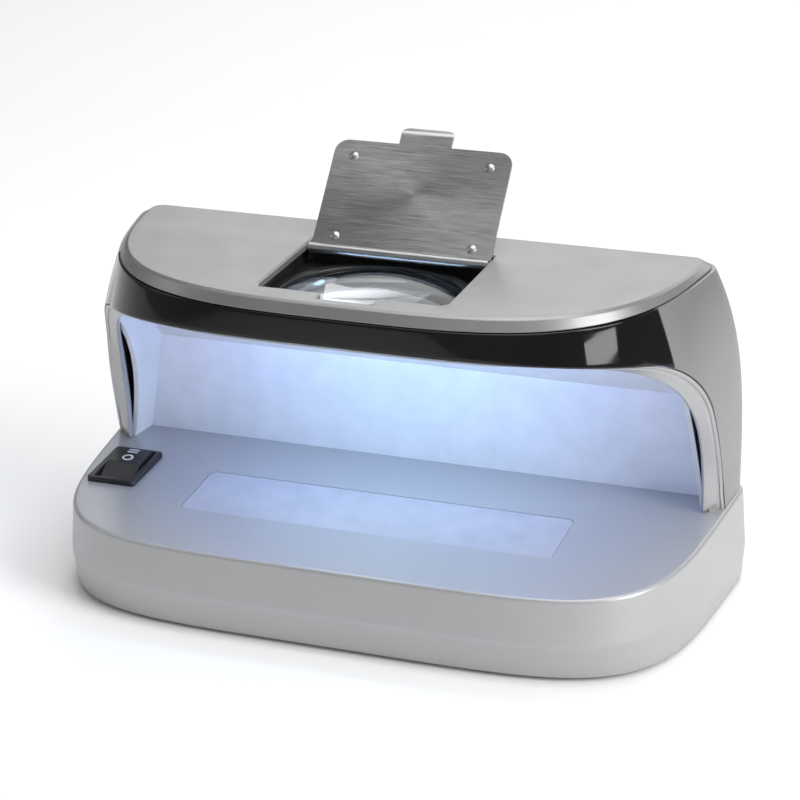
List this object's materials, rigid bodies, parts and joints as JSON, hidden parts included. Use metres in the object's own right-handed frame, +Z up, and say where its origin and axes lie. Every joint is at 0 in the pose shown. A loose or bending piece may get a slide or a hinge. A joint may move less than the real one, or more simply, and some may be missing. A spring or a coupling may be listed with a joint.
{
  "type": "counterfeit bill detector",
  "caption": "Desktop counterfeit bill detector with a sloping silver tray, an arched hood with a glossy black band, UV lamps, and a magnifying lens under a hinged steel lid.",
  "frame": {"origin": "on the table under the middle of the object, halfway between its front and its rear", "axes": "+X across the object to the user's right, +Y away from the user to the rear, +Z up"},
  "size_m": [0.1932, 0.0879, 0.1238],
  "materials": {
    "silver_paint": "satin",
    "grey_paint": "satin",
    "gloss_black": "gloss",
    "black_plastic": "satin",
    "dark_plastic": "matte",
    "white_plastic": "matte",
    "opal_plastic": "satin",
    "rubber": "matte",
    "steel": "satin",
    "brushed_sheet": "brushed",
    "brass": "satin",
    "lens_glass": "polished",
    "circuit_board": "satin",
    "led_package": "satin",
    "capacitor_sleeve": "gloss",
    "white_print": "matte"
  },
  "bodies": {
    "housing": {"base_shell": "silver_paint", "bottom_plate": "dark_plastic", "rubber_feet": "rubber", "bottom_screws": "steel", "tray_diffuser": "opal_plastic", "tray_led_board": "circuit_board", "tray_leds": "led_package", "switch_housing": "black_plastic", "switch_terminals": "brass", "light_chamber": "white_plastic", "front_frame": "silver_paint", "fascia_band": "gloss_black", "rear_cover": "grey_paint", "head_screws": "steel", "top_cover": "grey_paint", "lens_bezel": "black_plastic", "bezel_screws": "steel", "magnifier_lens": "lens_glass", "lens_ring": "black_plastic", "lid_hinge_pin": "steel", "uv_board_left": "circuit_board", "uv_board_right": "circuit_board", "uv_leds": "led_package", "uv_windows": "opal_plastic", "control_board": "circuit_board", "board_screws": "steel", "driver_inductor": "black_plastic", "capacitors": "capacitor_sleeve", "driver_chip": "black_plastic", "wire_sockets": "white_plastic", "dc_jack": "black_plastic", "dc_jack_pin": "steel", "jack_nut": "steel"},
    "lid": {"lens_lid": "brushed_sheet"},
    "rocker": {"switch_rocker": "black_plastic", "switch_marks": "white_print"}
  },
  "joints": [
    {"name": "lid_hinge", "type": "hinge", "parent": "housing", "child": "lid", "pos_m": [0, 0.0159, 0.09525], "axis": [1, 0, 0], "range_deg": [0, 132]},
    {"name": "rocker_pivot", "type": "hinge", "parent": "housing", "child": "rocker", "pos_m": [-0.0805, 0.00046, 0.02532], "axis": [-1, 0, 0], "range_deg": [0, 24]}
  ]
}
